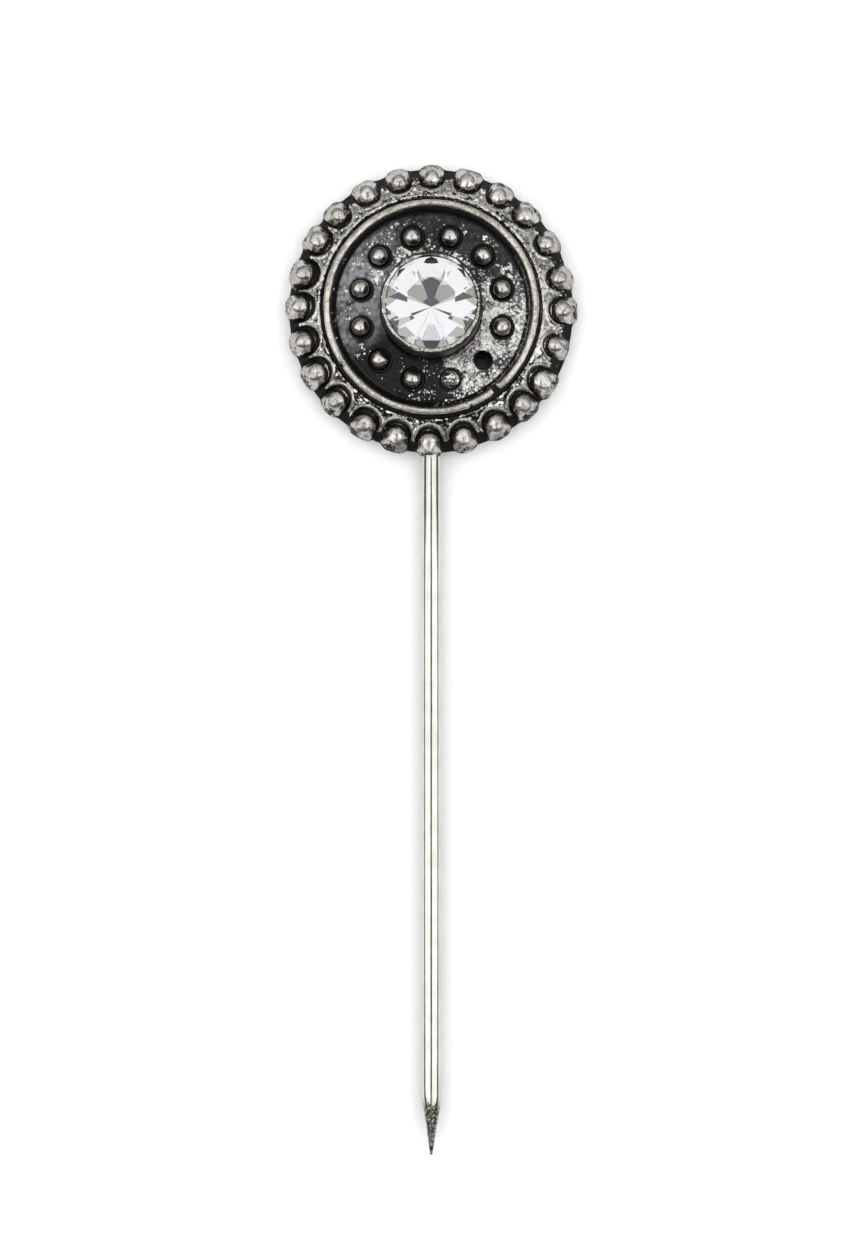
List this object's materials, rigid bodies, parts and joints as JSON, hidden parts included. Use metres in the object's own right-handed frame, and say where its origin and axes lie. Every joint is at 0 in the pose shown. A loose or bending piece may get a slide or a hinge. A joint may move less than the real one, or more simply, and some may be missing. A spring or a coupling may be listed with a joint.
{
  "type": "hat pin",
  "caption": "Hat pin with a round beaded head, a ring of bead studs around a clear pointed-back crystal, and a straight wire shaft with a ground point.",
  "frame": {"origin": "centre of the head's back face, on the head's axis", "axes": "+Z out of the head's face through the crystal, the shaft runs along -Y, +X to the right as seen from the face"},
  "size_m": [0.019, 0.0645, 0.0048],
  "materials": {
    "head_metal": "antique silver plate on zinc alloy, worn on the high points and black in the recesses",
    "plate_metal": "plated sheet, lightly brushed",
    "field_enamel": "black antiquing enamel, worn through in patches",
    "ring_metal": "satin antique silver wire",
    "stud_metal": "satin antique silver",
    "cup_metal": "antique silver plate on turned brass",
    "stone_cement": "hard stone cement",
    "crystal": "clear cut glass",
    "crystal_foil": "silver foil behind the glass",
    "shaft_metal": "polished wire, ground grey at the point",
    "shaft_solder": "soft solder, dull grey"
  },
  "bodies": {
    "root": {"head_casting": "head_metal", "back_plate": "plate_metal", "field_enamel": "field_enamel", "field_ring": "ring_metal", "bead_stud_01": "stud_metal", "bead_stud_02": "stud_metal", "bead_stud_03": "stud_metal", "bead_stud_04": "stud_metal", "bead_stud_06": "stud_metal", "bead_stud_07": "stud_metal", "bead_stud_08": "stud_metal", "bead_stud_09": "stud_metal", "bead_stud_10": "stud_metal", "bead_stud_11": "stud_metal", "bead_stud_12": "stud_metal", "stone_cup": "cup_metal", "stone_cement": "stone_cement", "crystal": "crystal", "crystal_foil": "crystal_foil", "pin_shaft": "shaft_metal", "shaft_solder": "shaft_solder"}
  },
  "joints": []
}
